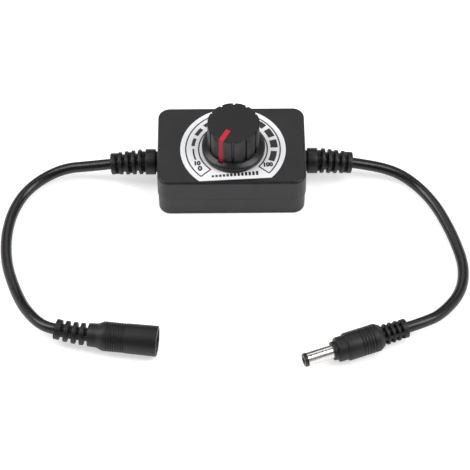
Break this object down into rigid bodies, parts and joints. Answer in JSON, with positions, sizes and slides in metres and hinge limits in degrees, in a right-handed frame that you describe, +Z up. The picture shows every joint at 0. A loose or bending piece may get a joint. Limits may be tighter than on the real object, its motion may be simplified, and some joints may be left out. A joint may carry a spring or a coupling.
{
  "type": "dc motor speed controller",
  "caption": "Small inline speed controller: flat plastic box with a dial and a fluted knob, a corded barrel socket on one side and a corded barrel plug on the other.",
  "frame": {"origin": "centre of the box's base, on the table", "axes": "+X along the box from the socket's cord to the plug's cord, -Y towards the front where the knob's pointer rests, +Z up out of the dial"},
  "size_m": [0.1894, 0.1185, 0.0374],
  "materials": {
    "case_plastic": "fine matt moulded texture",
    "knob_plastic": "fine matt moulded texture",
    "pointer_red": "smooth, half glossy",
    "dial_foil": "printed foil, half matt",
    "relief_rubber": "moulded soft plastic, satin",
    "cord_jacket": "smooth soft plastic, half glossy",
    "connector_rubber": "moulded soft plastic, satin",
    "liner_plastic": "hard black plastic",
    "nickel_plate": "nickel plated brass",
    "screw_steel": "zinc plated steel",
    "pot_steel": "plated steel",
    "pot_brass": "turned brass",
    "carbon_track": "carbon film on laminate",
    "board_green": "solder mask on laminate",
    "chip_epoxy": "moulded epoxy",
    "capacitor_sleeve": "shrunk sleeve",
    "resistor_lacquer": "lacquer",
    "disc_ceramic": "dipped ceramic",
    "wire_insulation": "soft plastic insulation"
  },
  "bodies": {
    "controller": {"top_case": "case_plastic", "bottom_case": "case_plastic", "case_screws": "screw_steel", "dial_label": "dial_foil", "circuit_board": "board_green", "pot_housing": "pot_steel", "pot_switch": "liner_plastic", "pot_track": "carbon_track", "pot_terminals": "nickel_plate", "pot_washer": "pot_steel", "pot_nut": "pot_steel", "timer_chip": "chip_epoxy", "electrolytic_capacitor": "capacitor_sleeve", "power_transistor": "chip_epoxy", "flyback_diode": "chip_epoxy", "resistors": "resistor_lacquer", "disc_capacitors": "disc_ceramic", "supply_relief": "relief_rubber", "motor_relief": "relief_rubber", "supply_wires": "wire_insulation", "motor_wires": "wire_insulation", "supply_cord": "cord_jacket", "motor_cord": "cord_jacket", "jack_shell": "connector_rubber", "jack_liner": "liner_plastic", "jack_sleeve": "nickel_plate", "jack_pin": "nickel_plate", "plug_shell": "connector_rubber", "plug_barrel": "nickel_plate", "plug_tip": "liner_plastic", "plug_contact": "nickel_plate"},
    "dial_knob": {"knob": "knob_plastic", "pointer_line": "pointer_red", "pot_shaft": "pot_brass", "pot_wiper": "pot_brass"}
  },
  "joints": [
    {"name": "knob_turn", "type": "hinge", "parent": "controller", "child": "dial_knob", "pos_m": [0.0008, -0.0022, 0.0206], "axis": [0, 0, -1], "range_deg": [0, 300]}
  ]
}
